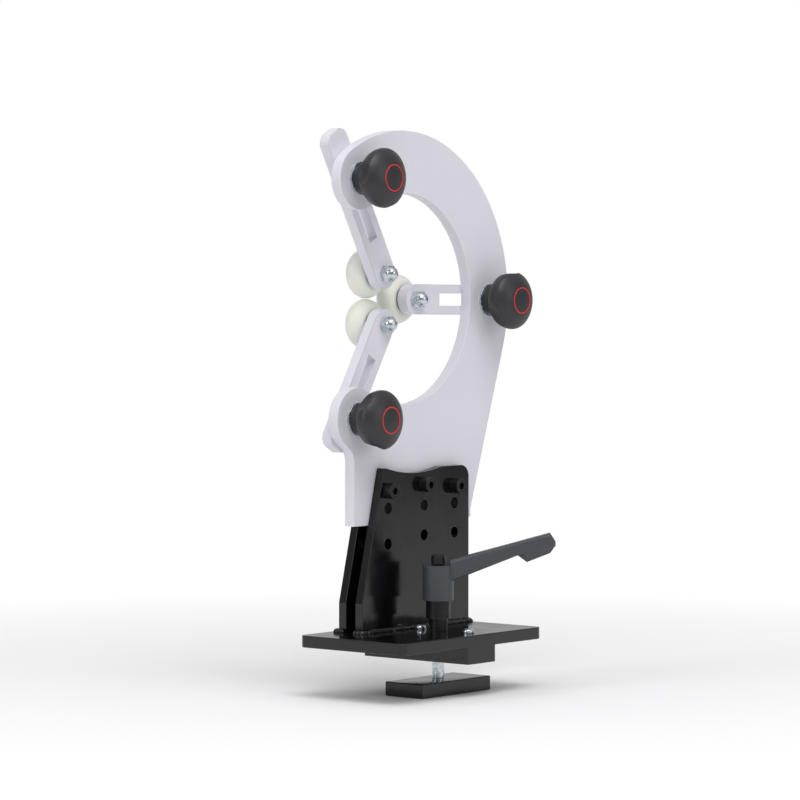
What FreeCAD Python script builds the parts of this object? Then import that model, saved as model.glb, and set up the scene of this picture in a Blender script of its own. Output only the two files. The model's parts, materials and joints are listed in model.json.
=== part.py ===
import FreeCAD, Part
import Sketcher
import math
import os
import re

# Three-roller steady rest for a two-way wood lathe.
# The origin lies on the bed, straight under the work axis, on the mid plane of the ring plate.
# +X runs across the bed to its far side, -Y is the knob side, +Z is up, and lengths are millimetres.

SIZES = {
    # the work axis and the ring plate
    "centre_height": 287.0,
    "plate_thick": 10.0,
    "plate_edge": 0.3,
    "ring_inner_radius": 89.0,
    "ring_outer_radius": 141.5,
    "arm_step_angle": 120.0,
    "mouth_tilt_angle": 1.1,
    "stem_taper_angle": 18.0,
    "stem_far_land": 7.0,
    "stem_near": 64.7,
    "stem_drop": 42.0,
    "stem_throat": 14.0,
    # the base plate, reaching further towards the turner than away from them
    "base_near": 102.0,
    "base_far": 82.0,
    "base_front": 89.0,
    "base_back": 23.0,
    "base_thick": 10.0,
    "base_corner": 6.0,
    "base_edge": 0.5,
    # the two uprights that hold the ring plate between them
    "upright_thick": 8.0,
    "upright_edge": 0.3,
    "upright_near": 63.2,
    "upright_near_top": 35.3,
    "upright_far": 77.5,
    "upright_kink": 25.0,
    "near_shoulder_rise": 5.4,
    "far_shoulder_rise": 3.8,
    "far_corner": 10.0,
    "saddle_gap": 4.5,
    "saddle_shift": 7.5,
    "weld_leg": 4.5,
    # the rows and columns of holes for the ring plate's screws, from the foot of the saddle down
    "column_near": 30.0,
    "column_mid": 17.4,
    "column_far": 58.0,
    "row_top": 13.5,
    "row_top_rise": 3.0,
    "row_mid": 28.0,
    "row_low": 53.0,
    "row_low_drop": 5.0,
    "screw_hole": 9.2,
    # M8 screws, washers and nuts through the stem
    "screw_shank": 8.0,
    "screw_head": 13.0,
    "screw_head_long": 8.0,
    "screw_key": 6.0,
    "screw_key_deep": 4.5,
    "washer_outer": 16.0,
    "washer_thick": 1.6,
    "nut_flats": 13.0,
    "nut_thick": 6.5,
    "thread_past_nut": 2.0,
    # the guide block between the ways, and its two M5 pan-head screws
    "guide_width": 35.6,
    "guide_deep": 14.0,
    "guide_let_in": 1.0,
    "guide_screw_front": 74.6,
    "guide_screw_back": 23.0,
    "pan_shank": 5.0,
    "pan_head": 10.0,
    "pan_head_high": 3.7,
    "pan_dome": 7.0,
    # the bed clamp: M10 stud and clamp plate under the ways
    "clamp_front": 42.4,
    "bed_grip": 30.0,
    "clamp_length": 90.0,
    "clamp_width": 40.0,
    "clamp_thick": 12.0,
    "stud_size": 10.0,
    "stud_into_lever": 17.0,
    # the adjustable clamping lever
    "sleeve_outer": 15.4,
    "sleeve_high": 10.7,
    "bush_outer": 20.4,
    "bush_high": 15.1,
    "hub_outer": 26.0,
    "hub_high": 29.2,
    "lever_turned_angle": -50.0,
    "spline_count": 24.0,
    "spline_tip": 17.0,
    "spline_root": 15.4,
    "spline_top": 14.4,
    "lever_lift": 4.6,
    "spline_clear": 0.2,
    "hub_web": 2.4,
    "hub_pocket": 12.8,
    "lever_screw_shank": 6.0,
    "lever_screw_head": 11.8,
    "lever_screw_high": 7.4,
    "lever_screw_gap": 1.0,
    "lever_screw_key": 5.0,
    "spring_wire": 1.2,
    "spring_outer": 11.4,
    "spring_turns": 4.5,
    "lever_reach": 98.0,
    "lever_root": 10.0,
    "lever_crest": 56.7,
    "lever_crest_angle": 15.2,
    "lever_under": 37.6,
    "lever_under_angle": 21.2,
    "lever_root_wide": 15.0,
    "lever_waist_wide": 11.0,
    "lever_grip_wide": 13.0,
    "lever_bevel": 2.2,
    "grip_start": 66.5,
    "grip_full": 74.0,
    "grip_end": 93.5,
    "grip_deep": 8.4,
    "grip_nose": 8.0,
    # the slotted arms
    "slide_gap": 0.05,
    "arm_thick": 10.0,
    "arm_width": 25.5,
    "arm_tail": 119.5,
    "top_arm_tail": 134.5,
    "arm_corner": 9.0,
    "slot_width": 10.5,
    "slot_start": 32.0,
    "slot_end": 104.0,
    # where the rollers stand: as close as they go, with the right arm set out a little
    "closed_radius": 24.6,
    "right_set_out": 3.4,
    # the rollers on their sealed bearings
    "roller_gap": 2.0,
    "roller_outer": 42.0,
    "roller_width": 19.0,
    "roller_dish": 2.0,
    "bearing_outer": 22.0,
    "bearing_bore": 8.0,
    "bearing_width": 7.0,
    "bearing_race": 1.5,
    "bearing_hub": 12.0,
    "seal_thick": 0.8,
    "seal_gap": 0.1,
    # the M8 roller axle and its domed nut
    "axle_hole_gap": 0.1,
    "axle_head_flats": 13.0,
    "axle_head_thick": 5.3,
    "axle_washer": 1.0,
    "dome_high": 12.0,
    "dome_outer": 12.4,
    "dome_bore": 9.5,
    # the M10 square-neck bolt of each arm, whose neck runs in the slot
    "bolt_head": 24.6,
    "bolt_head_high": 5.4,
    "bolt_square": 10.0,
    "bolt_square_long": 5.4,
    "bolt_reach": 24.0,
    "bolt_hole_gap": 0.3,
    "thread_gap": 0.05,
    # the scooped knobs; depths are measured from the face of the ring plate
    "knob_washer": 28.0,
    "knob_washer_thick": 2.0,
    "knob_neck": 24.5,
    "knob_back": 12.0,
    "knob_back_radius": 15.0,
    "knob_widest": 25.5,
    "knob_radius": 24.75,
    "knob_rim": 5.5,
    "knob_face": 36.0,
    "knob_face_curve": 25.0,
    "knob_insert": 16.0,
    "knob_insert_end": 26.0,
    "scoop_radius": 20.0,
    "scoop_out": 39.0,
    "scoop_depth": 17.0,
    "ring_band": 22.8,
    "ring_band_wide": 1.1,
    "ring_band_deep": 3.0,
    "cap_proud": 1.0,
}

doc = FreeCAD.newDocument("steady_rest")
sheet = doc.addObject("Spreadsheet::Sheet", "Sizes")
for line, (alias, number) in enumerate(SIZES.items(), start=1):
    sheet.set(f"A{line}", alias.replace("_", " "))
    sheet.set(f"B{line}", str(number))
    sheet.setAlias(f"B{line}", alias)
doc.recompute()

WORD = re.compile(r"[a-z]+(?:_[a-z]+)+")


def linked(text):
    """The formula as the document wants it, with each size written as a cell of the sheet."""
    return WORD.sub(lambda found: "Sizes." + found.group(0), text)


def worked_out(text):
    """The number that a formula of the sizes gives now."""
    return float(sheet.evalExpression(linked(text)))


def polar(radius, angle):
    return f"({radius})*cos({angle})", f"({radius})*sin({angle})"


# ---------------------------------------------------------------- bodies, sketches and features

NODES = []


def new_body(label, x="0", y="0", z="0", spin=0.0, about=(0, -1, 0)):
    """A body standing at x, y, z and turned by spin degrees about an axis through that point."""
    body = doc.addObject("PartDesign::Body", label)
    body.Label = label
    turn = FreeCAD.Rotation(FreeCAD.Vector(*about), spin)
    body.Placement = FreeCAD.Placement(FreeCAD.Vector(0, 0, 0), turn)
    for axis, text in zip("xyz", (x, y, z)):
        if text != "0":
            body.setExpression("Placement.Base." + axis, linked(text))
    NODES.append(body)
    return body


def origin_of(body, role):
    return next(each for each in body.Origin.OriginFeatures if each.Role == role)


def new_sketch(body, plane, away="0"):
    """A sketch on one of the body's own planes, moved along that plane's normal."""
    sketch = body.newObject("Sketcher::SketchObject", "Sketch")
    sketch.AttachmentSupport = [(origin_of(body, plane + "_Plane"), "")]
    sketch.MapMode = "FlatFace"
    if away != "0":
        sketch.setExpression("AttachmentOffset.Base.z", linked(away))
    return sketch


def pin_point(sketch, shape, spot, x, y, axes="xy"):
    """Hold one point of a shape at x, y from the sketch's origin, by formulas."""
    for axis, kind, text in (("x", "DistanceX", x), ("y", "DistanceY", y)):
        if axis not in axes:
            continue
        if text == "0":
            line = -2 if axis == "x" else -1
            sketch.addConstraint(Sketcher.Constraint("PointOnObject", shape, spot, line))
            continue
        rule = Sketcher.Constraint(kind, -1, 1, shape, spot, worked_out(text))
        number = sketch.addConstraint(rule)
        sketch.setExpression(f"Constraints[{number}]", linked(text))


def add_outline(sketch, corners):
    """A closed outline. A corner is (x, y), or (x, y, (cx, cy, turn)) where an arc starts there.

    cx, cy is the arc's centre, and turn is "left" for an anticlockwise arc or "right" for a clockwise one.
    """
    points = [(worked_out(c[0]), worked_out(c[1])) for c in corners]
    first = len(sketch.Geometry)
    pieces = []
    for number, corner in enumerate(corners):
        (x1, y1), (x2, y2) = points[number], points[(number + 1) % len(corners)]
        if len(corner) == 2:
            line = Part.LineSegment(FreeCAD.Vector(x1, y1, 0), FreeCAD.Vector(x2, y2, 0))
            pieces.append((line, 1, 2))
            continue
        cx, cy = worked_out(corner[2][0]), worked_out(corner[2][1])
        begin, end = math.atan2(y1 - cy, x1 - cx), math.atan2(y2 - cy, x2 - cx)
        circle = Part.Circle(FreeCAD.Vector(cx, cy, 0), FreeCAD.Vector(0, 0, 1), math.hypot(x1 - cx, y1 - cy))
        if corner[2][2] == "left":
            pieces.append((Part.ArcOfCircle(circle, begin, end), 1, 2))
        else:
            pieces.append((Part.ArcOfCircle(circle, end, begin), 2, 1))
    sketch.addGeometry([piece[0] for piece in pieces])
    for number, (_, start, stop) in enumerate(pieces):
        follower = (number + 1) % len(pieces)
        joined = (first + number, stop, first + follower, pieces[follower][1])
        sketch.addConstraint(Sketcher.Constraint("Coincident", *joined))
        pin_point(sketch, first + number, start, corners[number][0], corners[number][1])
        if len(corners[number]) > 2:
            (x1, y1), (x2, y2) = points[number], points[(number + 1) % len(corners)]
            axes = "x" if abs(y2 - y1) > abs(x2 - x1) else "y"
            pin_point(sketch, first + number, 3, corners[number][2][0], corners[number][2][1], axes)


def add_circle(sketch, x, y, diameter):
    middle = FreeCAD.Vector(worked_out(x), worked_out(y), 0)
    radius = worked_out(diameter) / 2
    shape = sketch.addGeometry(Part.Circle(middle, FreeCAD.Vector(0, 0, 1), radius))
    pin_point(sketch, shape, 3, x, y)
    number = sketch.addConstraint(Sketcher.Constraint("Diameter", shape, 2 * radius))
    sketch.setExpression(f"Constraints[{number}]", linked(diameter))


def add_polygon(sketch, x, y, radius, count, turned=0.0):
    corners = []
    for number in range(count):
        dx, dy = polar(radius, f"{turned + 360.0 * number / count}")
        corners.append((f"{x} + {dx}", f"{y} + {dy}"))
    add_outline(sketch, corners)


def pad(body, sketch, length, both_ways=False):
    feature = body.newObject("PartDesign::Pad", "Pad")
    feature.Profile = sketch
    feature.setExpression("Length", linked(length))
    if both_ways:
        feature.SideType = "Symmetric"
    return feature


def pocket(body, sketch, length=None):
    """Cut against the sketch's normal, by a length or right through."""
    feature = body.newObject("PartDesign::Pocket", "Pocket")
    feature.Profile = sketch
    if length is None:
        feature.Type = "ThroughAll"
    else:
        feature.setExpression("Length", linked(length))
    return feature


def revolve(body, sketch, kind="Revolution"):
    """Turn the sketch about its upright axis, to add it to the body or, as a Groove, to cut it away."""
    feature = body.newObject("PartDesign::" + kind, kind)
    feature.Profile = sketch
    feature.ReferenceAxis = (sketch, ["V_Axis"])
    feature.Angle = 360
    return feature


def break_edges(body, feature, size, direction, outer_only=True):
    """Chamfer the edges of the flat faces that look along a direction or against it."""
    doc.recompute()
    names = []
    edges = feature.Shape.Edges
    for face in feature.Shape.Faces:
        if abs(abs(face.normalAt(0, 0).dot(FreeCAD.Vector(*direction))) - 1) > 1e-6:
            continue
        wanted = face.OuterWire.Edges if outer_only else face.Edges
        for number, edge in enumerate(edges, start=1):
            if any(edge.isSame(each) for each in wanted):
                names.append(f"Edge{number}")
    chamfer = body.newObject("PartDesign::Chamfer", "Chamfer")
    chamfer.Base = (feature, sorted(set(names)))
    chamfer.setExpression("Size", linked(size))
    return chamfer


def turned_piece(body, corners):
    """A piece turned about the body's Y axis. Each corner is (radius, y)."""
    sketch = new_sketch(body, "XY")
    add_outline(sketch, corners)
    return revolve(body, sketch)


def ring_corners(inner, outer, start, stop):
    return [(inner, start), (outer, start), (outer, stop), (inner, stop)]


# ---------------------------------------------------------------- ring plate

SADDLE = "(ring_outer_radius + saddle_gap)"
SADDLE_FOOT = "(centre_height - ring_outer_radius - saddle_gap)"
KNOB_CIRCLE = "(ring_inner_radius + ring_outer_radius)/2"
BOSS = "((ring_outer_radius - ring_inner_radius)/2)"
ANGLES = {
    "top": "(arm_step_angle - mouth_tilt_angle)",
    "right": "(-mouth_tilt_angle)",
    "bottom": "(-arm_step_angle - mouth_tilt_angle)",
}
SCREWS = [
    ("-column_near", f"{SADDLE_FOOT} - row_top"),
    ("column_mid", f"{SADDLE_FOOT} - row_top + row_top_rise"),
    ("column_far", f"{SADDLE_FOOT} - row_top"),
]
SPARE_HOLES = [
    ("-column_near", f"{SADDLE_FOOT} - row_mid"),
    ("column_mid", f"{SADDLE_FOOT} - row_mid"),
    ("column_far", f"{SADDLE_FOOT} - row_mid"),
    ("-column_near", f"{SADDLE_FOOT} - row_low - row_low_drop"),
    ("column_mid", f"{SADDLE_FOOT} - row_low"),
    ("column_far", f"{SADDLE_FOOT} - row_low"),
]


def make_ring_plate():
    """The C-shaped plate, cut from 10 mm steel in one piece with its stem."""
    body = new_body("ring_plate", z="centre_height")
    sketch = new_sketch(body, "XZ", "-plate_thick/2")
    high_x, high_z = polar(KNOB_CIRCLE, ANGLES["top"])
    low_x, low_z = polar(KNOB_CIRCLE, ANGLES["bottom"])
    foot = f"(-{SADDLE} - stem_drop)"
    knee = f"({foot} + stem_far_land)"
    taper_x, taper_z = polar("ring_outer_radius", "-stem_taper_angle")
    stem_far = f"{taper_x} - (({taper_z}) - {knee})*tan(stem_taper_angle)"
    throat_x = "(-stem_near - stem_throat)"
    drop = f"sqrt(({BOSS} + stem_throat)^2 - ({throat_x} - {low_x})^2)"
    throat_z = f"({low_z} - {drop})"
    share = f"stem_throat/({BOSS} + stem_throat)"
    touch_x = f"{throat_x} + ({low_x} - {throat_x})*{share}"
    touch_z = f"{throat_z} + {drop}*{share}"
    corners = [
        (*polar("ring_inner_radius", ANGLES["bottom"]), ("0", "0", "left")),
        (*polar("ring_inner_radius", ANGLES["top"]), (high_x, high_z, "right")),
        (*polar("ring_outer_radius", ANGLES["top"]), ("0", "0", "right")),
        (taper_x, taper_z),
        (stem_far, knee),
        (stem_far, foot),
        ("-stem_near", foot),
        ("-stem_near", throat_z, (throat_x, throat_z, "left")),
        (touch_x, touch_z, (low_x, low_z, "right")),
    ]
    add_outline(sketch, corners)
    for angle in ANGLES.values():
        add_circle(sketch, *polar(KNOB_CIRCLE, angle), "stud_size + 2*bolt_hole_gap")
    for x, z in SCREWS:
        add_circle(sketch, x, f"{z} - centre_height", "screw_hole")
    plate = pad(body, sketch, "plate_thick")
    break_edges(body, plate, "plate_edge", (0, 1, 0))


# ---------------------------------------------------------------- base, uprights and welds


def make_base_plate():
    body = new_body("base_plate")
    sketch = new_sketch(body, "XY")
    near, far, front, back = "-base_near", "base_far", "-base_front", "base_back"
    corner = "base_corner"
    corners = [
        (f"{near} + {corner}", front),
        (f"{far} - {corner}", front, (f"{far} - {corner}", f"{front} + {corner}", "left")),
        (far, f"{front} + {corner}"),
        (far, f"{back} - {corner}", (f"{far} - {corner}", f"{back} - {corner}", "left")),
        (f"{far} - {corner}", back),
        (f"{near} + {corner}", back, (f"{near} + {corner}", f"{back} - {corner}", "left")),
        (near, f"{back} - {corner}"),
        (near, f"{front} + {corner}", (f"{near} + {corner}", f"{front} + {corner}", "left")),
    ]
    add_outline(sketch, corners)
    add_circle(sketch, "0", "-clamp_front", "stud_size + 2*bolt_hole_gap")
    for y in ("-guide_screw_front", "-guide_screw_back"):
        add_circle(sketch, "0", y, "pan_shank + 2*axle_hole_gap")
    plate = pad(body, sketch, "base_thick")
    edged = break_edges(body, plate, "base_edge", (0, 0, 1))
    groove = new_sketch(body, "XZ", "base_front")
    half = "guide_width/2"
    add_outline(groove, [(f"-{half}", "0"), (half, "0"), (half, "guide_let_in"), (f"-{half}", "guide_let_in")])
    pocket(body, groove)
    return edged


def make_upright(name, away):
    """One of the two uprights: a slanted near edge, a plumb far edge and a saddle under the ring."""
    body = new_body(name)
    sketch = new_sketch(body, "XZ", away)
    far_shoulder = f"{SADDLE_FOOT} + far_shoulder_rise"
    near_shoulder = f"{SADDLE_FOOT} + near_shoulder_rise"
    saddle_far = f"saddle_shift + sqrt({SADDLE}^2 - ({SADDLE} - far_shoulder_rise)^2)"
    saddle_near = f"saddle_shift - sqrt({SADDLE}^2 - ({SADDLE} - near_shoulder_rise)^2)"
    corner_x, corner_z = "upright_far - far_corner", f"{far_shoulder} - far_corner"
    corners = [
        ("-upright_near", "base_thick"),
        ("upright_far", "base_thick"),
        ("upright_far", corner_z, (corner_x, corner_z, "left")),
        (corner_x, far_shoulder),
        (saddle_far, far_shoulder, ("saddle_shift", "centre_height", "right")),
        (saddle_near, near_shoulder),
        ("-upright_near_top", near_shoulder),
        ("-upright_near", "base_thick + upright_kink"),
    ]
    add_outline(sketch, corners)
    for x, z in SCREWS + SPARE_HOLES:
        add_circle(sketch, x, z, "screw_hole")
    plate = pad(body, sketch, "upright_thick")
    break_edges(body, plate, "upright_edge", (0, 1, 0))


def make_weld_beads():
    """Fillet welds round the outside of both uprights, where they stand on the base plate."""
    beads = []
    for name, inner, side in (("front", "plate_thick/2", 1), ("back", "plate_thick/2", -1)):
        wedge = doc.addObject("Part::Wedge", "Bead_" + name)
        outer = f"({inner} + upright_thick)"
        low, high = (inner, outer) if side > 0 else (f"-{outer}", f"-({inner})")
        grow = ("0", "weld_leg") if side > 0 else ("weld_leg", "0")
        faces = {
            "Xmin": "-upright_near - weld_leg",
            "Xmax": "upright_far + weld_leg",
            "Ymin": "base_thick",
            "Ymax": "base_thick + weld_leg",
            "Zmin": f"{low} - {grow[0]}",
            "Zmax": f"{high} + {grow[1]}",
            "X2min": "-upright_near",
            "X2max": "upright_far",
            "Z2min": low,
            "Z2max": high,
        }
        for prop, text in faces.items():
            wedge.setExpression(prop, linked(text))
        upend = FreeCAD.Rotation(FreeCAD.Vector(1, 0, 0), 90)
        wedge.Placement = FreeCAD.Placement(FreeCAD.Vector(0, 0, 0), upend)
        foot = doc.addObject("Part::Box", "Foot_" + name)
        foot.setExpression("Length", linked("upright_near + upright_far"))
        foot.setExpression("Width", linked("upright_thick"))
        foot.setExpression("Height", linked("2*weld_leg"))
        foot.setExpression("Placement.Base.x", linked("-upright_near"))
        foot.setExpression("Placement.Base.y", linked(f"-({high})"))
        foot.setExpression("Placement.Base.z", linked("base_thick"))
        bead = doc.addObject("Part::Cut", "Weld_" + name)
        bead.Base, bead.Tool = wedge, foot
        beads.append(bead)
    both = doc.addObject("Part::Compound", "weld_beads")
    both.Label = "weld_beads"
    both.Links = beads
    NODES.append(both)


# ---------------------------------------------------------------- screws that hold the ring plate


def add_row(body, places, diameter, away, length, bore=None):
    """One disc or ring at each place of a row, padded towards the knob side."""
    sketch = new_sketch(body, "XZ", away)
    for x, z in places:
        add_circle(sketch, x, z, diameter)
        if bore:
            add_circle(sketch, x, z, bore)
    return pad(body, sketch, length)


def make_ring_screws():
    outside = "(plate_thick/2 + upright_thick)"
    tail = f"({outside} + washer_thick + nut_thick + thread_past_nut)"
    body = new_body("ring_screws")
    add_row(body, SCREWS, "screw_head", outside, "screw_head_long")
    add_row(body, SCREWS, "screw_shank", f"-{tail}", f"{tail} + {outside}")
    sockets = new_sketch(body, "XZ", f"{outside} + screw_head_long")
    for x, z in SCREWS:
        add_polygon(sockets, x, z, "screw_key/2/cos(30)", 6)
    pocket(body, sockets, "screw_key_deep")

    body = new_body("ring_screw_washers")
    add_row(body, SCREWS, "washer_outer", f"-{outside} - washer_thick", "washer_thick", "screw_shank + 0.4")

    body = new_body("ring_screw_nuts")
    sketch = new_sketch(body, "XZ", f"-{outside} - washer_thick - nut_thick")
    for x, z in SCREWS:
        add_polygon(sketch, x, z, "nut_flats/2/cos(30)", 6, 30)
        add_circle(sketch, x, z, "screw_shank")
    pad(body, sketch, "nut_thick")


# ---------------------------------------------------------------- guide block and bed clamp


def make_guide():
    body = new_body("guide_block")
    sketch = new_sketch(body, "XY", "-guide_deep")
    half = "guide_width/2"
    add_outline(sketch, [
        (f"-{half}", "-base_front"),
        (half, "-base_front"),
        (half, "base_back"),
        (f"-{half}", "base_back"),
    ])
    add_circle(sketch, "0", "-clamp_front", "stud_size + 2*bolt_hole_gap")
    for y in ("-guide_screw_front", "-guide_screw_back"):
        add_circle(sketch, "0", y, "pan_shank")
    pad(body, sketch, "guide_deep + guide_let_in")

    body = new_body("guide_screws")
    sketch = new_sketch(body, "XY", "-guide_deep + 2")
    for y in ("-guide_screw_front", "-guide_screw_back"):
        add_circle(sketch, "0", y, "pan_shank")
    pad(body, sketch, "guide_deep - 2 + base_thick")
    sketch = new_sketch(body, "XY", "base_thick")
    for y in ("-guide_screw_front", "-guide_screw_back"):
        add_circle(sketch, "0", y, "pan_head")
    heads = pad(body, sketch, "pan_head_high")
    doc.recompute()
    rims = []
    top = worked_out("base_thick + pan_head_high")
    for number, edge in enumerate(heads.Shape.Edges, start=1):
        if abs(edge.BoundBox.ZMin - top) < 1e-6 and abs(edge.BoundBox.ZMax - top) < 1e-6:
            rims.append(f"Edge{number}")
    rounded = body.newObject("PartDesign::Fillet", "Fillet")
    rounded.Base = (heads, rims)
    rounded.setExpression("Radius", linked("pan_head_high*0.6"))
    crosses = new_sketch(body, "XY", "base_thick + pan_head_high")
    for y in ("-guide_screw_front", "-guide_screw_back"):
        add_cross(crosses, "0", y, "pan_head*0.25", "pan_head*0.06")
    pocket(body, crosses, "pan_head_high*0.5")


def add_cross(sketch, x, y, reach, half):
    """The outline of a cross recess, drawn arm by arm."""
    spots = [(1, -1), (1, 1), (-1, 1), (-1, -1)]
    corners = []
    for number, (sx, sy) in enumerate(spots):
        along = f"{x} + {sx}*{reach}" if number % 2 == 0 else f"{x} + {sx}*{half}"
        first = (f"{x} + {sx}*{reach}", f"{y} + {sy}*{half}")
        inner = (f"{x} + {sx}*{half}", f"{y} + {sy}*{half}")
        last = (f"{x} + {sx}*{half}", f"{y} + {sy}*{reach}")
        corners += [last, inner, first] if number % 2 == 0 else [first, inner, last]
    add_outline(sketch, corners)


LEVER_FOOT = "base_thick + sleeve_high"
HUB_FOOT = "base_thick + sleeve_high + bush_high"
SPLINE_LONG = "(lever_lift - spline_clear)"


def make_bed_clamp():
    body = new_body("clamp_stud", y="-clamp_front")
    sketch = new_sketch(body, "XY", "-bed_grip - clamp_thick")
    add_circle(sketch, "0", "0", "stud_size")
    stud = pad(body, sketch, f"bed_grip + clamp_thick + {LEVER_FOOT} + stud_into_lever")
    break_edges(body, stud, "plate_edge", (0, 0, 1))

    body = new_body("clamp_plate", y="-clamp_front")
    sketch = new_sketch(body, "XY", "-bed_grip - clamp_thick")
    far, wide = "clamp_length/2", "clamp_width/2"
    add_outline(sketch, [(f"-{far}", f"-{wide}"), (far, f"-{wide}"), (far, wide), (f"-{far}", wide)])
    add_circle(sketch, "0", "0", "stud_size")
    plate = pad(body, sketch, "clamp_thick")
    break_edges(body, plate, "base_edge", (0, 0, 1))


# ---------------------------------------------------------------- adjustable clamping lever


def lever_body(name):
    return new_body(name, y="-clamp_front", spin=SIZES["lever_turned_angle"], about=(0, 0, 1))


def upright_turning(body, corners):
    """A piece turned about the body's Z axis. Each corner is (radius, z)."""
    sketch = new_sketch(body, "XZ")
    add_outline(sketch, corners)
    return revolve(body, sketch)


def add_spline(sketch, grow):
    """The toothed outline that the hub and the insert share."""
    corners = []
    count = int(SIZES["spline_count"])
    for number in range(2 * count):
        radius = ("spline_tip/2", "spline_root/2")[number % 2]
        corners.append(polar(f"{radius} + {grow}", f"{180.0 * number / count}"))
    add_outline(sketch, corners)


def make_lever():
    hub_top = f"{HUB_FOOT} + hub_high"
    spline_end = f"{HUB_FOOT} + spline_top"
    floor = f"{spline_end} + 0.4"
    shelf = f"{floor} + hub_web"
    bore = "stud_size/2 + thread_gap"
    stud_end = f"{LEVER_FOOT} + stud_into_lever + 2"

    body = new_body("lever_sleeve", y="-clamp_front")
    upright_turning(body, ring_corners("stud_size/2 + 0.2", "sleeve_outer/2", "base_thick", LEVER_FOOT))

    body = lever_body("lever_insert")
    upright_turning(body, [
        (bore, LEVER_FOOT),
        ("bush_outer/2", LEVER_FOOT),
        ("bush_outer/2", HUB_FOOT),
        ("spline_root/2", HUB_FOOT),
        ("spline_root/2", spline_end),
        ("lever_screw_shank/2", spline_end),
        ("lever_screw_shank/2", stud_end),
        (bore, stud_end),
    ])
    teeth = new_sketch(body, "XY", f"{spline_end} - {SPLINE_LONG}")
    add_spline(teeth, "0")
    add_circle(teeth, "0", "0", "2*spline_root/3")
    pad(body, teeth, SPLINE_LONG)

    body = lever_body("lever_screw")
    head = f"{hub_top} + lever_screw_gap"
    upright_turning(body, [
        ("0", stud_end),
        ("lever_screw_shank/2", stud_end),
        ("lever_screw_shank/2", head),
        ("lever_screw_head/2", head),
        ("lever_screw_head/2", f"{head} + lever_screw_high"),
        ("0", f"{head} + lever_screw_high"),
    ])
    socket = new_sketch(body, "XY", f"{head} + lever_screw_high")
    add_polygon(socket, "0", "0", "lever_screw_key/2/cos(30)", 6)
    pocket(body, socket, "lever_screw_high/2")

    body = lever_body("lever_spring")
    coil = new_sketch(body, "XZ")
    middle = "(spring_outer - spring_wire)/2"
    add_polygon(coil, middle, f"{shelf} + spring_wire/2", "spring_wire/2", 6, 30)
    helix = body.newObject("PartDesign::AdditiveHelix", "Coil")
    helix.Profile = coil
    helix.ReferenceAxis = (coil, ["V_Axis"])
    helix.Mode = "height-turns-angle"
    helix.setExpression("Height", linked(f"{head} - ({shelf}) - spring_wire"))
    helix.setExpression("Turns", linked("spring_turns"))

    body = lever_body("lever_handle")
    upright_turning(body, [
        ("spline_tip/2 + thread_gap*4", HUB_FOOT),
        ("hub_outer/2", HUB_FOOT),
        ("hub_outer/2", hub_top),
        ("hub_pocket/2", hub_top),
        ("hub_pocket/2", shelf),
        ("lever_screw_shank/2 + thread_gap*6", shelf),
        ("lever_screw_shank/2 + thread_gap*6", floor),
        ("spline_root/2 + thread_gap*4", floor),
        ("spline_root/2 + thread_gap*4", f"{spline_end} - {SPLINE_LONG}"),
        ("spline_tip/2 + thread_gap*4", f"{spline_end} - {SPLINE_LONG}"),
    ])
    grooves = new_sketch(body, "XY", floor)
    add_spline(grooves, "thread_gap*4")
    pocket(body, grooves, f"{SPLINE_LONG} + 0.4")
    add_lever_arm(body)


def add_lever_arm(body):
    """The cast arm: bevelled sections set along it, from the hub to the nose of the grip."""
    stations = [
        ("lever_root", "lever_root_wide/2", "0", "0"),
        ("grip_start", "lever_waist_wide/2", "0", "0"),
        ("grip_full", "lever_grip_wide/2", "grip_deep", "0"),
        ("grip_end", "lever_grip_wide/2", "grip_deep", "0"),
        ("lever_reach", "lever_grip_wide/2 - lever_bevel", "grip_deep/2", "grip_nose"),
    ]
    sections = []
    for along, half, deep, fall in stations:
        section = new_sketch(body, "YZ", along)
        top = f"base_thick + lever_crest + ({along})*tan(lever_crest_angle) - {fall}"
        under = f"base_thick + lever_under + ({along})*tan(lever_under_angle)"
        side = f"{under} - lever_bevel/2" if deep != "0" else f"{under} + lever_bevel/2"
        low = f"{under} - {deep}"
        side = f"min({side}; {top} - 2*lever_bevel)"
        narrow = f"{half} - lever_bevel"
        add_outline(section, [
            (f"-({narrow})", top),
            (f"-({half})", f"{top} - lever_bevel"),
            (f"-({half})", side),
            (f"-({narrow})", low),
            (narrow, low),
            (half, side),
            (half, f"{top} - lever_bevel"),
            (narrow, top),
        ])
        sections.append(section)
    arm = body.newObject("PartDesign::AdditiveLoft", "Arm")
    arm.Profile = sections[0]
    arm.Sections = sections[1:]
    arm.Ruled = True


# ---------------------------------------------------------------- arms and rollers

ARM_FRONT = "(plate_thick/2 + slide_gap)"
ARM_BACK = "(plate_thick/2 + slide_gap + arm_thick)"
ROLLER_FRONT = "(plate_thick/2 + slide_gap + arm_thick + roller_gap)"
BEARING_FRONT = "(plate_thick/2 + slide_gap + arm_thick + roller_gap + roller_dish)"
BEARING_PITCH = "(roller_width - 2*roller_dish - bearing_width)"
BEARING_BACK = f"({BEARING_FRONT} + {BEARING_PITCH} + bearing_width)"


def on_circle(name, radius, side, spin=None):
    """A body on one of the three rays from the work axis, turned to lie along that ray."""
    angle = ANGLES[side]
    x, z = polar(radius, angle)
    turned = worked_out(angle) if spin is None else spin
    return new_body(name, x=x, z=f"centre_height + {z}", spin=turned)


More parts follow.
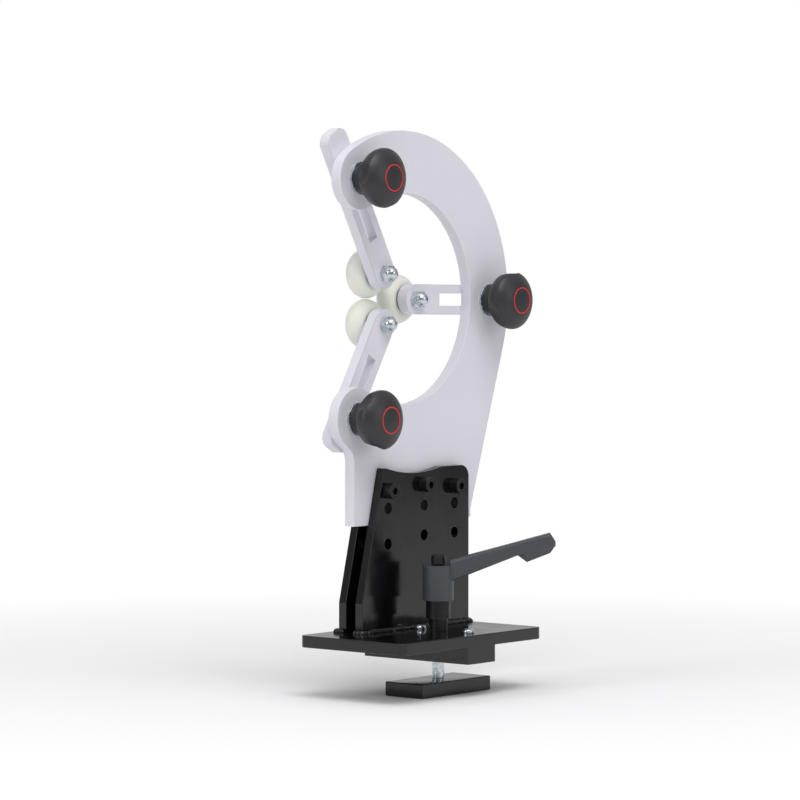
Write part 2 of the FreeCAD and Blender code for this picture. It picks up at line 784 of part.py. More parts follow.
def make_arm(side):
    roller_circle = "closed_radius + right_set_out" if side == "right" else "closed_radius"
    tail = "top_arm_tail" if side == "top" else "arm_tail"

    body = on_circle(side + "_arm", roller_circle, side)
    sketch = new_sketch(body, "XZ", f"-{ARM_BACK}")
    half = "arm_width/2"
    add_outline(sketch, [
        ("0", half, ("0", "0", "left")),
        ("0", f"-{half}"),
        (f"{tail} - arm_corner", f"-{half}", (f"{tail} - arm_corner", f"-{half} + arm_corner", "left")),
        (tail, f"-{half} + arm_corner"),
        (tail, f"{half} - arm_corner", (f"{tail} - arm_corner", f"{half} - arm_corner", "left")),
        (f"{tail} - arm_corner", half),
    ])
    slot = "slot_width/2"
    add_outline(sketch, [
        ("slot_start", f"-{slot}"),
        ("slot_end", f"-{slot}"),
        ("slot_end", slot),
        ("slot_start", slot),
    ])
    add_circle(sketch, "0", "0", "bearing_bore + 2*axle_hole_gap")
    bar = pad(body, sketch, "arm_thick")
    break_edges(body, bar, "plate_edge", (0, 1, 0))

    body = on_circle(side + "_axle_bolt", roller_circle, side)
    head_seat = f"({BEARING_BACK} + axle_washer)"
    sketch = new_sketch(body, "XZ", f"-{head_seat} - axle_head_thick")
    add_polygon(sketch, "0", "0", "axle_head_flats/2/cos(30)", 6)
    pad(body, sketch, "axle_head_thick")
    sketch = new_sketch(body, "XZ", f"-{head_seat}")
    add_circle(sketch, "0", "0", "bearing_bore")
    pad(body, sketch, f"{head_seat} - {ARM_FRONT} + dome_bore - 0.5")

    body = on_circle(side + "_dome_nut", roller_circle, side)
    flat = ARM_FRONT
    crown = f"({flat} - dome_high)"
    shoulder = f"({flat} - dome_high + dome_outer/2)"
    sketch = new_sketch(body, "XZ", f"-{flat}")
    add_polygon(sketch, "0", "0", "nut_flats/2/cos(30)", 6)
    pad(body, sketch, "nut_thick")
    turned_piece(body, [
        ("0", flat),
        ("dome_outer/2", flat),
        ("dome_outer/2", shoulder, ("0", shoulder, "right")),
        ("0", crown),
    ])
    bevel = new_sketch(body, "XY")
    corner = "nut_flats/2/cos(30)"
    face = f"({flat} - nut_thick)"
    add_outline(bevel, [
        (f"{corner} - 0.9", f"{face} - 0.2"),
        (f"{corner} + 0.5", f"{face} - 0.2"),
        (f"{corner} + 0.5", f"{face} + 0.7"),
    ])
    revolve(body, bevel, "Groove")
    bore = new_sketch(body, "XZ", f"-{flat} + dome_bore")
    add_circle(bore, "0", "0", "bearing_bore")
    pocket(body, bore, "dome_bore")

    body = on_circle(side + "_axle_sleeves", roller_circle, side)
    shaft = "bearing_bore/2"
    land = "bearing_hub/2"
    spread = f"({BEARING_FRONT} + bearing_width)"
    second = f"({BEARING_FRONT} + {BEARING_PITCH})"
    for start, stop in (
        (ARM_BACK, BEARING_FRONT),
        (BEARING_FRONT, spread),
        (spread, second),
        (second, BEARING_BACK),
        (BEARING_BACK, head_seat),
    ):
        turned_piece(body, ring_corners(shaft, land, start, stop))


def make_roller(side):
    roller_circle = "closed_radius + right_set_out" if side == "right" else "closed_radius"
    back = f"({ROLLER_FRONT} + roller_width)"
    second = f"({BEARING_FRONT} + {BEARING_PITCH})"
    seat = "bearing_outer/2"
    tread = "roller_width/2"
    middle = f"({ROLLER_FRONT} + roller_width/2)"

    body = on_circle(side + "_roller", roller_circle, side)
    turned_piece(body, [
        (seat, ROLLER_FRONT),
        (f"roller_outer/2 - {tread}", ROLLER_FRONT, (f"roller_outer/2 - {tread}", middle, "left")),
        (f"roller_outer/2 - {tread}", back),
        (seat, back),
        (seat, second),
        (f"{seat} - bearing_race", second),
        (f"{seat} - bearing_race", f"{BEARING_FRONT} + bearing_width"),
        (seat, f"{BEARING_FRONT} + bearing_width"),
    ])

    body = on_circle(side + "_bearing_races", roller_circle, side)
    inner = f"{seat} - bearing_race"
    for start in (BEARING_FRONT, second):
        turned_piece(body, ring_corners(inner, seat, start, f"{start} + bearing_width"))

    body = on_circle(side + "_bearing_seals", roller_circle, side)
    lip = "bearing_hub/2 + seal_gap"
    for start in (BEARING_FRONT, second):
        last = f"{start} + bearing_width"
        turned_piece(body, ring_corners(lip, inner, start, f"{start} + seal_thick"))
        turned_piece(body, ring_corners(lip, inner, f"{last} - seal_thick", last))


# ---------------------------------------------------------------- arm clamps and knobs

PLATE_FACE = "plate_thick/2"
KNOB_PHASE = {"top": 50.0, "right": 92.0, "bottom": 15.0}


def make_arm_clamp(side):
    body = on_circle(side + "_clamp_bolt", KNOB_CIRCLE, side)
    under_head = f"({ARM_BACK} + slide_gap)"
    dome = "((bolt_head/2)^2 + bolt_head_high^2)/(2*bolt_head_high)"
    turned_piece(body, [
        ("0", under_head),
        ("bolt_head/2", under_head, ("0", f"{under_head} + bolt_head_high - {dome}", "left")),
        ("0", f"{under_head} + bolt_head_high"),
    ])
    half = "bolt_square/2"
    sketch = new_sketch(body, "XZ", f"-{under_head}")
    add_outline(sketch, [(f"-{half}", f"-{half}"), (half, f"-{half}"), (half, half), (f"-{half}", half)])
    pad(body, sketch, "bolt_square_long")
    sketch = new_sketch(body, "XZ", f"-{under_head}")
    add_circle(sketch, "0", "0", "stud_size")
    pad(body, sketch, f"{under_head} + {PLATE_FACE} + bolt_reach")


def make_knob(side):
    """A moulded knob with a threaded insert, a coloured band and a cap. Depths run towards -Y."""
    def at(depth):
        return f"-({PLATE_FACE} + {depth})"

    body = on_circle(side + "_knob_washer", KNOB_CIRCLE, side)
    bore = "stud_size/2 + bolt_hole_gap"
    turned_piece(body, ring_corners(bore, "knob_washer/2", at("knob_washer_thick"), at("0")))

    spin = KNOB_PHASE[side]
    body = on_circle(side + "_knob", KNOB_CIRCLE, side, spin)
    rim_middle = "knob_radius - knob_rim"
    rim_x, rim_y = polar("knob_rim", "45")
    rim_end = (f"{rim_middle} + {rim_x}", at(f"knob_widest + {rim_y}"))
    face_radius = "ring_band/2"
    flare = "((knob_widest - knob_back)^2 + (knob_radius - knob_back_radius)^2)/(2*(knob_radius - knob_back_radius))"
    turned_piece(body, [
        ("knob_insert/2", at("knob_washer_thick")),
        ("knob_insert/2", at("knob_insert_end")),
        ("0", at("knob_insert_end")),
        ("0", at("knob_face - ring_band_deep")),
        (face_radius, at("knob_face - ring_band_deep")),
        (face_radius, at("knob_face"), dome_centre(face_radius, at, rim_end)),
        (*rim_end, (rim_middle, at("knob_widest"), "left")),
        ("knob_radius", at("knob_widest"), (f"knob_radius - {flare}", at("knob_widest"), "left")),
        ("knob_back_radius", at("knob_back")),
        ("knob_neck/2", at("knob_back")),
        ("knob_neck/2", at("knob_washer_thick")),
    ])
    scoop = body.newObject("PartDesign::SubtractiveSphere", "Scoop")
    scoop.AttachmentSupport = [(origin_of(body, "XY_Plane"), "")]
    scoop.MapMode = "FlatFace"
    scoop.setExpression("AttachmentOffset.Base.x", linked("scoop_out"))
    scoop.setExpression("AttachmentOffset.Base.y", linked(at("scoop_depth")))
    scoop.setExpression("Radius", linked("scoop_radius"))
    doc.recompute()
    three = body.newObject("PartDesign::PolarPattern", "Scoops")
    three.Originals = [scoop]
    three.Axis = (origin_of(body, "Y_Axis"), [""])
    three.Angle = 360
    three.Occurrences = 3
    body.Tip = three

    body = on_circle(side + "_knob_insert", KNOB_CIRCLE, side, spin)
    thread = "stud_size/2 + thread_gap"
    turned_piece(body, ring_corners(thread, "knob_insert/2", at("knob_insert_end"), at("knob_washer_thick")))

    body = on_circle(side + "_knob_band", KNOB_CIRCLE, side, spin)
    inside = "ring_band/2 - ring_band_wide"
    turned_piece(body, ring_corners(inside, "ring_band/2", at("knob_face + 0.3"), at("knob_face - ring_band_deep")))

    body = on_circle(side + "_knob_cap", KNOB_CIRCLE, side, spin)
    dome = f"(({inside})^2 + cap_proud^2)/(2*cap_proud)"
    turned_piece(body, [
        ("0", at("knob_face - ring_band_deep")),
        ("0", at("knob_face + cap_proud"), ("0", f"{at('knob_face + cap_proud')} + {dome}", "left")),
        (inside, at("knob_face")),
        (inside, at("knob_face - ring_band_deep")),
    ])


def dome_centre(radius, at, rim_end):
    """The centre of the shallow arc from the band's edge out to the rim, of the set radius."""
    x1, y1, x2, y2 = f"({radius})", f"({at('knob_face')})", f"({rim_end[0]})", f"({rim_end[1]})"
    half = f"(sqrt(({x2} - {x1})^2 + ({y2} - {y1})^2)/2)"
    rise = f"(sqrt(knob_face_curve^2 - {half}^2)/(2*{half}))"
    return f"({x1} + {x2})/2 - ({y2} - {y1})*{rise}", f"({y1} + {y2})/2 + ({x2} - {x1})*{rise}", "left"


make_ring_plate()
make_base_plate()
make_upright("front_upright", PLATE_FACE)
make_upright("back_upright", f"-({PLATE_FACE} + upright_thick)")
make_weld_beads()
make_ring_screws()
make_guide()
make_bed_clamp()
make_lever()
for ray in ANGLES:
    make_arm(ray)
    make_roller(ray)
    make_arm_clamp(ray)
    make_knob(ray)

doc.recompute()
for item in doc.Objects:
    if "Invalid" in item.State or "Error" in item.State:
        raise RuntimeError(f"{item.Label} did not rebuild: {item.State}")
os.makedirs("parts", exist_ok=True)
for node in NODES:
    if node.Shape.isNull() or not node.Shape.isValid() or not node.Shape.Solids:
        raise RuntimeError(f"{node.Label} has no sound shape")
for node in NODES:
    node.Shape.exportStep(f"parts/{node.Label}.step")
print(len(NODES), "nodes written")
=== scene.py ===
import bmesh
import bpy
import json
import math
from mathutils import Matrix, Vector, noise


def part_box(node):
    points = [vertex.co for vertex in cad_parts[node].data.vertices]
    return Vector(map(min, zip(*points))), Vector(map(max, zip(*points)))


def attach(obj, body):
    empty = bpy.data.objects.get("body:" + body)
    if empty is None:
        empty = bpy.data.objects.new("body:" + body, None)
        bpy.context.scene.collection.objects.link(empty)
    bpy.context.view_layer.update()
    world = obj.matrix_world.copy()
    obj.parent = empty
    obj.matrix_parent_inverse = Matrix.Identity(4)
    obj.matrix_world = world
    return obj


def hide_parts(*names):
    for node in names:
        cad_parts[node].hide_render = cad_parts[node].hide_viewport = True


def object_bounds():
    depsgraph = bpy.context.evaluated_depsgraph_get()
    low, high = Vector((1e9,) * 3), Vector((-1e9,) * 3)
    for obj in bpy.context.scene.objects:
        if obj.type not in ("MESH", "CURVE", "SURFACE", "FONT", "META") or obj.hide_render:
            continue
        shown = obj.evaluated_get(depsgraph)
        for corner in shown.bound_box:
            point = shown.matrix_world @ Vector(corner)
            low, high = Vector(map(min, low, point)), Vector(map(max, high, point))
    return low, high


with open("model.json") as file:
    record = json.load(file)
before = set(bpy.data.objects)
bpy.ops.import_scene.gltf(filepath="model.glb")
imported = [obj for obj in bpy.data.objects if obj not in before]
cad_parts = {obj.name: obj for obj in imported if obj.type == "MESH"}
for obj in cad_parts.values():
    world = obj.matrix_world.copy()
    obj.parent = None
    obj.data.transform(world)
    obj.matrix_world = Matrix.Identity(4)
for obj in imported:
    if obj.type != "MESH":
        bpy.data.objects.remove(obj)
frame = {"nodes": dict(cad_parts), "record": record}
nodes = frame["nodes"]
bodies = frame["record"]["behaviour"]["bodies"]
body_of = {node: body for body, members in bodies.items() for node in members}
cad_box = [list(corner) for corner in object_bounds()]
scene = bpy.context.scene
MM = 0.001
FLAT = math.radians(0.2)

# ------------------------------------------------------------------ the studio
# A pale floor that fades into white round the rest, a white surround, and soft lamps
# overhead, to the turner's left and behind the camera.

scene.view_settings.view_transform = "Standard"

eye = bpy.data.cameras.new("eye")
eye.lens = 176.4
eye.sensor_width = 36.0
eye.clip_end = 20.0
camera = bpy.data.objects.new("eye", eye)
camera.location = (-2.5346, -2.1084, 0.3421)
camera.rotation_euler = (math.radians(90 - 2.431), 0.0, math.radians(-50.256))
scene.collection.objects.link(camera)
scene.camera = camera


def new_tree(owner):
    """Empties a material's or world's node tree and hands back its nodes and links."""
    owner.use_nodes = True
    tree = owner.node_tree
    tree.nodes.clear()
    return tree.nodes, tree.links


surround = bpy.data.worlds.new("surround")
scene.world = surround
shaders, wires = new_tree(surround)
looking = shaders.new("ShaderNodeTexCoord")
heights = shaders.new("ShaderNodeSeparateXYZ")
wires.new(looking.outputs["Generated"], heights.inputs["Vector"])
upper = shaders.new("ShaderNodeMapRange")
upper.inputs["From Min"].default_value = -0.1
upper.inputs["From Max"].default_value = 0.75
upper.inputs["To Min"].default_value = 0.18
upper.inputs["To Max"].default_value = 0.95
wires.new(heights.outputs["Z"], upper.inputs["Value"])
behind = shaders.new("ShaderNodeVectorMath")
behind.operation = "DOT_PRODUCT"
behind.inputs[1].default_value = (0.77, 0.64, 0.0)
wires.new(looking.outputs["Generated"], behind.inputs[0])
backdrop = shaders.new("ShaderNodeMapRange")
backdrop.inputs["From Min"].default_value = 0.1
backdrop.inputs["From Max"].default_value = 0.7
backdrop.inputs["To Min"].default_value = 0.0
backdrop.inputs["To Max"].default_value = 0.9
wires.new(behind.outputs["Value"], backdrop.inputs["Value"])
brighter = shaders.new("ShaderNodeMath")
brighter.operation = "MAXIMUM"
wires.new(upper.outputs["Result"], brighter.inputs[0])
wires.new(backdrop.outputs["Result"], brighter.inputs[1])
room = shaders.new("ShaderNodeBackground")
wires.new(brighter.outputs["Value"], room.inputs["Color"])
room.inputs["Strength"].default_value = 0.62
white = shaders.new("ShaderNodeBackground")
white.inputs["Color"].default_value = (1, 1, 1, 1)
rays = shaders.new("ShaderNodeLightPath")
choice = shaders.new("ShaderNodeMixShader")
wires.new(rays.outputs["Is Camera Ray"], choice.inputs["Fac"])
wires.new(room.outputs["Background"], choice.inputs[1])
wires.new(white.outputs["Background"], choice.inputs[2])
last = shaders.new("ShaderNodeOutputWorld")
wires.new(choice.outputs["Shader"], last.inputs["Surface"])


def softbox(name, place, aim, width, height, watts):
    lamp = bpy.data.lights.new(name, "AREA")
    lamp.shape = "RECTANGLE"
    lamp.size, lamp.size_y = width, height
    lamp.energy = watts
    holder = bpy.data.objects.new(name, lamp)
    holder.location = place
    holder.rotation_euler = (Vector(aim) - Vector(place)).to_track_quat("-Z", "Y").to_euler()
    scene.collection.objects.link(holder)


softbox("overhead_lamp", (-0.7, -0.9, 2.1), (0.0, 0.0, 0.2), 1.4, 1.4, 26.0)
softbox("left_lamp", (-2.4, 0.7, 1.1), (0.0, 0.0, 0.2), 0.9, 1.4, 14.0)
softbox("front_lamp", (0.4, -2.6, 0.9), (0.0, 0.0, 0.2), 1.2, 1.2, 9.0)

UNDERFOOT = 0.0002
slab = bmesh.new()
bmesh.ops.create_grid(slab, x_segments=1, y_segments=1, size=2.2)
bmesh.ops.translate(slab, verts=slab.verts, vec=(0, 0, cad_box[0][2] - UNDERFOOT))
floor_mesh = bpy.data.meshes.new("floor")
slab.to_mesh(floor_mesh)
slab.free()
floor = bpy.data.objects.new("floor", floor_mesh)
scene.collection.objects.link(floor)
paper = bpy.data.materials.new("white_paper")
floor_mesh.materials.append(paper)
shaders, wires = new_tree(paper)
spot = shaders.new("ShaderNodeTexCoord")
away = shaders.new("ShaderNodeVectorMath")
away.operation = "LENGTH"
wires.new(spot.outputs["Object"], away.inputs[0])
fade = shaders.new("ShaderNodeMapRange")
fade.inputs["From Min"].default_value = 0.25
fade.inputs["From Max"].default_value = 0.9
wires.new(away.outputs["Value"], fade.inputs["Value"])
matt = shaders.new("ShaderNodeBsdfDiffuse")
matt.inputs["Color"].default_value = (0.93, 0.93, 0.94, 1)
glow = shaders.new("ShaderNodeEmission")
glow.inputs["Strength"].default_value = 1.0
rays = shaders.new("ShaderNodeLightPath")
seen = shaders.new("ShaderNodeMath")
seen.operation = "MULTIPLY"
wires.new(rays.outputs["Is Camera Ray"], seen.inputs[0])
wires.new(fade.outputs["Result"], seen.inputs[1])
sheet = shaders.new("ShaderNodeMixShader")
wires.new(seen.outputs["Value"], sheet.inputs["Fac"])
wires.new(matt.outputs["BSDF"], sheet.inputs[1])
wires.new(glow.outputs["Emission"], sheet.inputs[2])
last = shaders.new("ShaderNodeOutputMaterial")
wires.new(sheet.outputs["Shader"], last.inputs["Surface"])

# ------------------------------------------------------------------ ring plate
# The C-shaped plate and its stem, cut from 10 mm steel in one piece. It is sprayed a pale
# silver grey all over, which rounds its broken edges and leaves the faintest orange peel.


def group_with(name, sockets):
    """A shader node group with the named inputs and outputs, and its two end nodes."""
    group = bpy.data.node_groups.new(name, "ShaderNodeTree")
    for title, way, kind, value in sockets:
        socket = group.interface.new_socket(name=title, in_out=way, socket_type=kind)
        if value is not None:
            socket.default_value = value
    return group, group.nodes.new("NodeGroupInput"), group.nodes.new("NodeGroupOutput")


# Small waves and grit in a sprayed or moulded skin.
skin, skin_in, skin_out = group_with("skin", [
    ("Scale", "INPUT", "NodeSocketFloat", 300.0),
    ("Height", "INPUT", "NodeSocketFloat", 0.1),
    ("Normal", "OUTPUT", "NodeSocketVector", None),
])
at = skin.nodes.new("ShaderNodeTexCoord")
waves = skin.nodes.new("ShaderNodeTexNoise")
waves.inputs["Detail"].default_value = 3.0
bumps = skin.nodes.new("ShaderNodeBump")
bumps.inputs["Distance"].default_value = 0.0004
skin.links.new(at.outputs["Object"], waves.inputs["Vector"])
skin.links.new(skin_in.outputs["Scale"], waves.inputs["Scale"])
skin.links.new(skin_in.outputs["Height"], bumps.inputs["Strength"])
skin.links.new(waves.outputs["Fac"], bumps.inputs["Height"])
skin.links.new(bumps.outputs["Normal"], skin_out.inputs["Normal"])

# Patches a little lighter or darker, duller or glossier than their neighbours.
patches, patches_in, patches_out = group_with("patches", [
    ("Scale", "INPUT", "NodeSocketFloat", 30.0),
    ("Least", "INPUT", "NodeSocketFloat", 0.0),
    ("Most", "INPUT", "NodeSocketFloat", 1.0),
    ("Amount", "OUTPUT", "NodeSocketFloat", None),
])
at = patches.nodes.new("ShaderNodeTexCoord")
clouds = patches.nodes.new("ShaderNodeTexNoise")
clouds.inputs["Detail"].default_value = 5.0
spread = patches.nodes.new("ShaderNodeMapRange")
spread.inputs["From Min"].default_value = 0.3
spread.inputs["From Max"].default_value = 0.7
patches.links.new(at.outputs["Object"], clouds.inputs["Vector"])
patches.links.new(patches_in.outputs["Scale"], clouds.inputs["Scale"])
patches.links.new(clouds.outputs["Fac"], spread.inputs["Value"])
patches.links.new(patches_in.outputs["Least"], spread.inputs["To Min"])
patches.links.new(patches_in.outputs["Most"], spread.inputs["To Max"])
patches.links.new(spread.outputs["Result"], patches_out.inputs["Amount"])

# Where a surface turns over an edge within a small radius.
edges, edges_in, edges_out = group_with("edges", [
    ("Amount", "INPUT", "NodeSocketFloat", 1.0),
    ("Mask", "OUTPUT", "NodeSocketFloat", None),
])
shape = edges.nodes.new("ShaderNodeNewGeometry")
soft = edges.nodes.new("ShaderNodeBevel")
soft.samples = 4
soft.inputs["Radius"].default_value = 0.0009
same = edges.nodes.new("ShaderNodeVectorMath")
same.operation = "DOT_PRODUCT"
turn = edges.nodes.new("ShaderNodeMapRange")
turn.inputs["From Min"].default_value = 0.995
turn.inputs["From Max"].default_value = 0.8
share = edges.nodes.new("ShaderNodeMath")
share.operation = "MULTIPLY"
edges.links.new(shape.outputs["Normal"], same.inputs[0])
edges.links.new(soft.outputs["Normal"], same.inputs[1])
edges.links.new(same.outputs["Value"], turn.inputs["Value"])
edges.links.new(turn.outputs["Result"], share.inputs[0])
edges.links.new(edges_in.outputs["Amount"], share.inputs[1])
edges.links.new(share.outputs["Value"], edges_out.inputs["Mask"])


def finish_of(name, colour, metal=0.0, gloss=0.5, specular=0.5):
    """A material with one principled shader, whose plain sockets are set here."""
    finish = bpy.data.materials.new(name)
    shaders, wires = new_tree(finish)
    body = shaders.new("ShaderNodeBsdfPrincipled")
    body.name = "body"
    body.inputs["Base Color"].default_value = (*colour, 1)
    body.inputs["Metallic"].default_value = metal
    body.inputs["Roughness"].default_value = gloss
    body.inputs["Specular IOR Level"].default_value = specular
    last = shaders.new("ShaderNodeOutputMaterial")
    wires.new(body.outputs["BSDF"], last.inputs["Surface"])
    return finish


def effect(finish, group, **values):
    """Places a shared effect in a material, with its own values."""
    node = finish.node_tree.nodes.new("ShaderNodeGroup")
    node.node_tree = group
    for title, value in values.items():
        node.inputs[title].default_value = value
    return node


def shades(finish, amount, dark, light):
    """Colours a material between two shades by a mask or an amount."""
    mix = finish.node_tree.nodes.new("ShaderNodeMix")
    mix.data_type = "RGBA"
    mix.inputs["A"].default_value = (*dark, 1)
    mix.inputs["B"].default_value = (*light, 1)
    finish.node_tree.links.new(amount, mix.inputs["Factor"])
    return mix


def feed(finish, output, socket):
    finish.node_tree.links.new(output, finish.node_tree.nodes["body"].inputs[socket])


def dull_in_patches(finish, scale, least, most):
    amount = effect(finish, patches, Scale=scale, Least=least, Most=most).outputs["Amount"]
    feed(finish, amount, "Roughness")


def roughen(finish, scale, height):
    feed(finish, effect(finish, skin, Scale=scale, Height=height).outputs["Normal"], "Normal")


def dressed(name, *, soften, finish):
    """A copy of a CAD solid with joined corners and softened edges, standing for it."""
    shape = bmesh.new()
    shape.from_mesh(nodes[name].data)
    bmesh.ops.remove_doubles(shape, verts=shape.verts, dist=1e-6)
    bmesh.ops.dissolve_limit(shape, angle_limit=FLAT, verts=shape.verts, edges=shape.edges)
    return built(name + "_piece", shape, soften=soften, finish=finish, stands_for=(name,))


def built(name, shape, *, soften=0.0, finish=None, stands_for=(), body=None, sharp=32.0):
    """Makes an object of a bmesh, softens its sharp edges, gives it a finish and a body to ride on."""
    mesh = bpy.data.meshes.new(name)
    for face in shape.faces:
        face.smooth = True
    shape.to_mesh(mesh)
    shape.free()
    mesh.set_sharp_from_angle(angle=math.radians(sharp))
    piece = bpy.data.objects.new(name, mesh)
    scene.collection.objects.link(piece)
    if soften:
        round_off = piece.modifiers.new("round_off", "BEVEL")
        round_off.width = soften * MM
        round_off.segments = 2
        round_off.limit_method = "ANGLE"
        round_off.angle_limit = math.radians(sharp)
        round_off.harden_normals = True
    if finish:
        mesh.materials.append(finish)
    if stands_for:
        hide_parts(*stands_for)
    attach(piece, body or body_of[stands_for[0]])
    return piece


silver_paint = finish_of("silver_paint", (0.72, 0.71, 0.78), gloss=0.38, specular=0.4)
mottle = effect(silver_paint, patches, Scale=14.0)
tint = shades(silver_paint, mottle.outputs["Amount"], (0.715, 0.705, 0.775), (0.745, 0.735, 0.80))
feed(silver_paint, tint.outputs["Result"], "Base Color")
dull_in_patches(silver_paint, scale=45.0, least=0.32, most=0.46)
roughen(silver_paint, scale=420.0, height=0.05)
plate = dressed("ring_plate", soften=0.45, finish=silver_paint)

# ------------------------------------------------------------------ base plate and uprights
# Flame-cut steel plates, welded together and sprayed gloss black. The paint is glassy on the
# rolled faces and thinner over the streaks of the cut edges. Its colour is lightened along every
# edge as a painted highlight.

black_paint = finish_of("black_paint", (0.004, 0.004, 0.005), gloss=0.12, specular=0.5)
# Edges are coloured lighter than the faces: a painted highlight along every edge.
painted_edge_highlight = effect(black_paint, edges, Amount=0.5)
tint = shades(black_paint, painted_edge_highlight.outputs["Mask"], (0.0035, 0.0033, 0.004), (0.03, 0.03, 0.034))
feed(black_paint, tint.outputs["Result"], "Base Color")
dull_in_patches(black_paint, scale=40.0, least=0.06, most=0.2)
roughen(black_paint, scale=160.0, height=0.06)
base = dressed("base_plate", soften=0.3, finish=black_paint)
for name in ("front_upright", "back_upright"):
    dressed(name, soften=0.3, finish=black_paint)

# ------------------------------------------------------------------ weld beads
# Hand-laid fillet welds along the uprights' feet, their ripples drowned in black paint.


def weld_run(shape, path, radius, step=0.0011):
    """Draws a rippled bead along a path of points, by extruding a ring from point to point.

    Its two ends are pinched to less than half its width.
    """
    stops = []
    for start, stop in zip(path, path[1:]):
        count = max(2, round((stop - start).length / step))
        stops += [start.lerp(stop, n / count) for n in range(count)]
    stops.append(path[-1])
    loop = []
    for number, place in enumerate(stops):
        ahead = stops[min(number + 1, len(stops) - 1)] - stops[max(number - 1, 0)]
        ripple = 1.0 + 0.10 * math.sin(number * 1.9) + 0.22 * noise.noise(place * 260.0)
        if number in (0, len(stops) - 1):
            ripple *= 0.45
        facing = ahead.to_track_quat("Z", "Y").to_matrix().to_4x4()
        spot = place + Vector((0, 0, 0.25 * radius * noise.noise(place * 180.0)))
        if not loop:
            made = bmesh.ops.create_circle(shape, cap_ends=True, segments=12, radius=1.0)
            loop = made["verts"]
            rim = [e for e in shape.edges if all(v in loop for v in e.verts)]
        else:
            made = bmesh.ops.extrude_edge_only(shape, edges=rim)
            loop = [g for g in made["geom"] if isinstance(g, bmesh.types.BMVert)]
            drawn = [g for g in made["geom"] if isinstance(g, bmesh.types.BMEdge)]
            rim = [edge for edge in drawn if all(v in loop for v in edge.verts)]
            bmesh.ops.transform(shape, matrix=back, verts=loop)
        here = Matrix.Translation(spot) @ facing @ Matrix.Diagonal((*[radius * ripple] * 3, 1))
        bmesh.ops.transform(shape, matrix=here, verts=loop)
        back = here.inverted()
    bmesh.ops.contextual_create(shape, geom=rim)


welds = bmesh.new()
low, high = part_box("weld_beads")
foot_z = low.z
leg = high.z - low.z
for name, outward in (("front_upright", -1), ("back_upright", 1)):
    near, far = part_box(name)
    face = near.y if outward < 0 else far.y
    inner = far.y if outward < 0 else near.y
    x0, x1 = near.x - 0.25 * leg, far.x + 0.25 * leg
    y0, y1 = face + outward * 0.22 * leg, inner
    rise = foot_z + 0.10 * leg
    route = [Vector((x0, y1, rise)), Vector((x0, y0, rise)), Vector((x1, y0, rise)), Vector((x1, y1, rise))]
    weld_run(welds, route, 0.62 * leg)
bmesh.ops.recalc_face_normals(welds, faces=welds.faces)
weld_paint = finish_of("weld_paint", (0.004, 0.004, 0.005), gloss=0.2)
roughen(weld_paint, scale=700.0, height=0.35)
bead = built("weld_beads_piece", welds, finish=weld_paint, stands_for=("weld_beads",), sharp=60.0)

# ------------------------------------------------------------------ ring screws
# Three M8 cap screws hold the stem between the uprights, with washers and nuts at the back.
# The screws are blackened steel, and the washers and nuts bright zinc.

black_oxide = finish_of("black_oxide", (0.028, 0.028, 0.03), metal=0.6, gloss=0.34)
# Edges are coloured lighter than the faces: a painted highlight along every edge.
painted_edge_highlight = effect(black_oxide, edges, Amount=0.8)
tint = shades(black_oxide, painted_edge_highlight.outputs["Mask"], (0.02, 0.02, 0.022), (0.12, 0.12, 0.12))
feed(black_oxide, tint.outputs["Result"], "Base Color")
dull_in_patches(black_oxide, scale=120.0, least=0.28, most=0.45)
roughen(black_oxide, scale=1500.0, height=0.08)
zinc = finish_of("zinc", (0.6, 0.66, 0.7), metal=1.0, gloss=0.24)
bloom = effect(zinc, patches, Scale=260.0)
tint = shades(zinc, bloom.outputs["Amount"], (0.48, 0.55, 0.60), (0.72, 0.76, 0.78))
feed(zinc, tint.outputs["Result"], "Base Color")
dull_in_patches(zinc, scale=300.0, least=0.16, most=0.34)
roughen(zinc, scale=900.0, height=0.1)
dressed("ring_screws", soften=0.35, finish=black_oxide)
dressed("ring_screw_washers", soften=0.2, finish=zinc)
dressed("ring_screw_nuts", soften=0.4, finish=zinc)

# ------------------------------------------------------------------ guide block and its screws
# A steel bar that runs in the gap between the ways, let into the base plate's underside.
# It has the base's black paint, and its two pan-head screws are bright zinc.

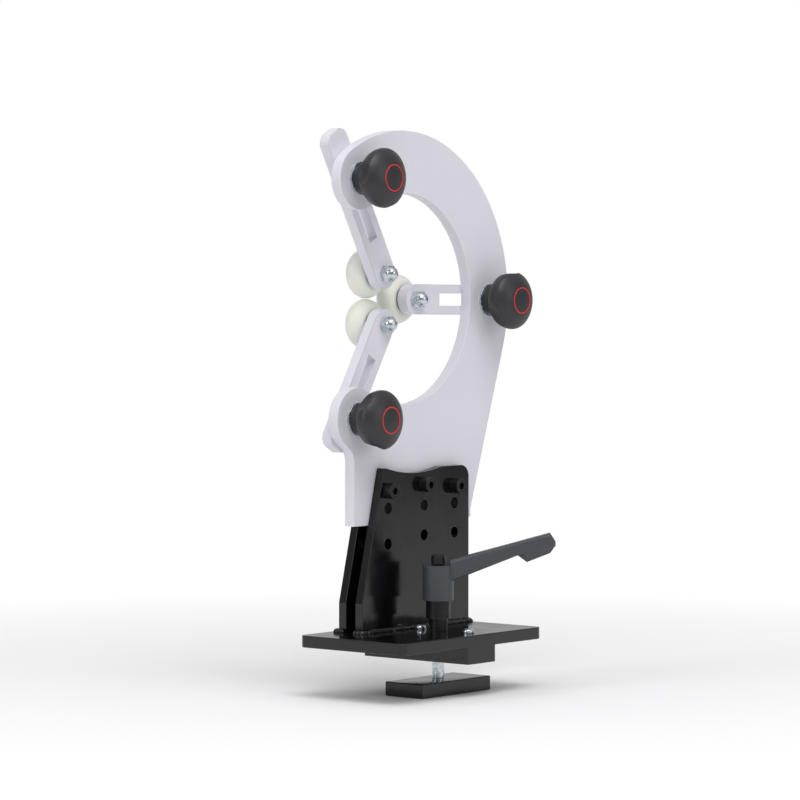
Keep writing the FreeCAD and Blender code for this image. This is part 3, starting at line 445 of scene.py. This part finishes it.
dressed("guide_block", soften=0.4, finish=black_paint)
dressed("guide_screws", soften=0.15, finish=zinc)

# ------------------------------------------------------------------ clamp stud and clamp plate
# The plate pulls up against the undersides of the ways when the lever draws its stud up.
# The plate is painted black like the base, and the stud is bright zinc.

dressed("clamp_plate", soften=0.6, finish=black_paint)
dressed("clamp_stud", soften=0.3, finish=zinc)

# ------------------------------------------------------------------ clamping lever
# A die-cast zinc handle on a toothed steel insert. A spring under its screw holds the teeth in.
# The handle is powder-coated dark grey, and its steel parts are blackened.

cast_grey = finish_of("cast_grey", (0.05, 0.055, 0.065), gloss=0.42)
roughen(cast_grey, scale=900.0, height=0.12)
dull_in_patches(cast_grey, scale=90.0, least=0.36, most=0.5)
dressed("lever_handle", soften=0.5, finish=cast_grey)
dressed("lever_sleeve", soften=0.3, finish=black_oxide)
dressed("lever_insert", soften=0.3, finish=black_oxide)
dressed("lever_screw", soften=0.4, finish=black_oxide)

# ------------------------------------------------------------------ arms, rollers and clamps
# Each arm is sprayed like the ring plate and carries a cream roller on a zinc-plated axle.
# A zinc-plated bolt and a black moulded knob with a red ring lock it to the ring plate.

cream = finish_of("cream_plastic", (0.83, 0.85, 0.77), gloss=0.3)
cream.node_tree.nodes["body"].inputs["Subsurface Weight"].default_value = 0.25
cream.node_tree.nodes["body"].inputs["Subsurface Scale"].default_value = 0.004
moulding = finish_of("black_moulding", (0.022, 0.022, 0.025), gloss=0.42)
red = finish_of("red_moulding", (0.62, 0.035, 0.03), gloss=0.35)
for side in ("top", "right", "bottom"):
    dressed(side + "_arm", soften=0.45, finish=silver_paint)
    dressed(side + "_roller", soften=0.3, finish=cream)
    dressed(side + "_axle_bolt", soften=0.3, finish=zinc)
    dressed(side + "_dome_nut", soften=0.3, finish=zinc)
    dressed(side + "_clamp_bolt", soften=0.3, finish=zinc)
    dressed(side + "_knob_washer", soften=0.2, finish=zinc)
    dressed(side + "_knob", soften=0.5, finish=moulding)
    dressed(side + "_knob_cap", soften=0.2, finish=moulding)
    dressed(side + "_knob_band", soften=0.1, finish=red)
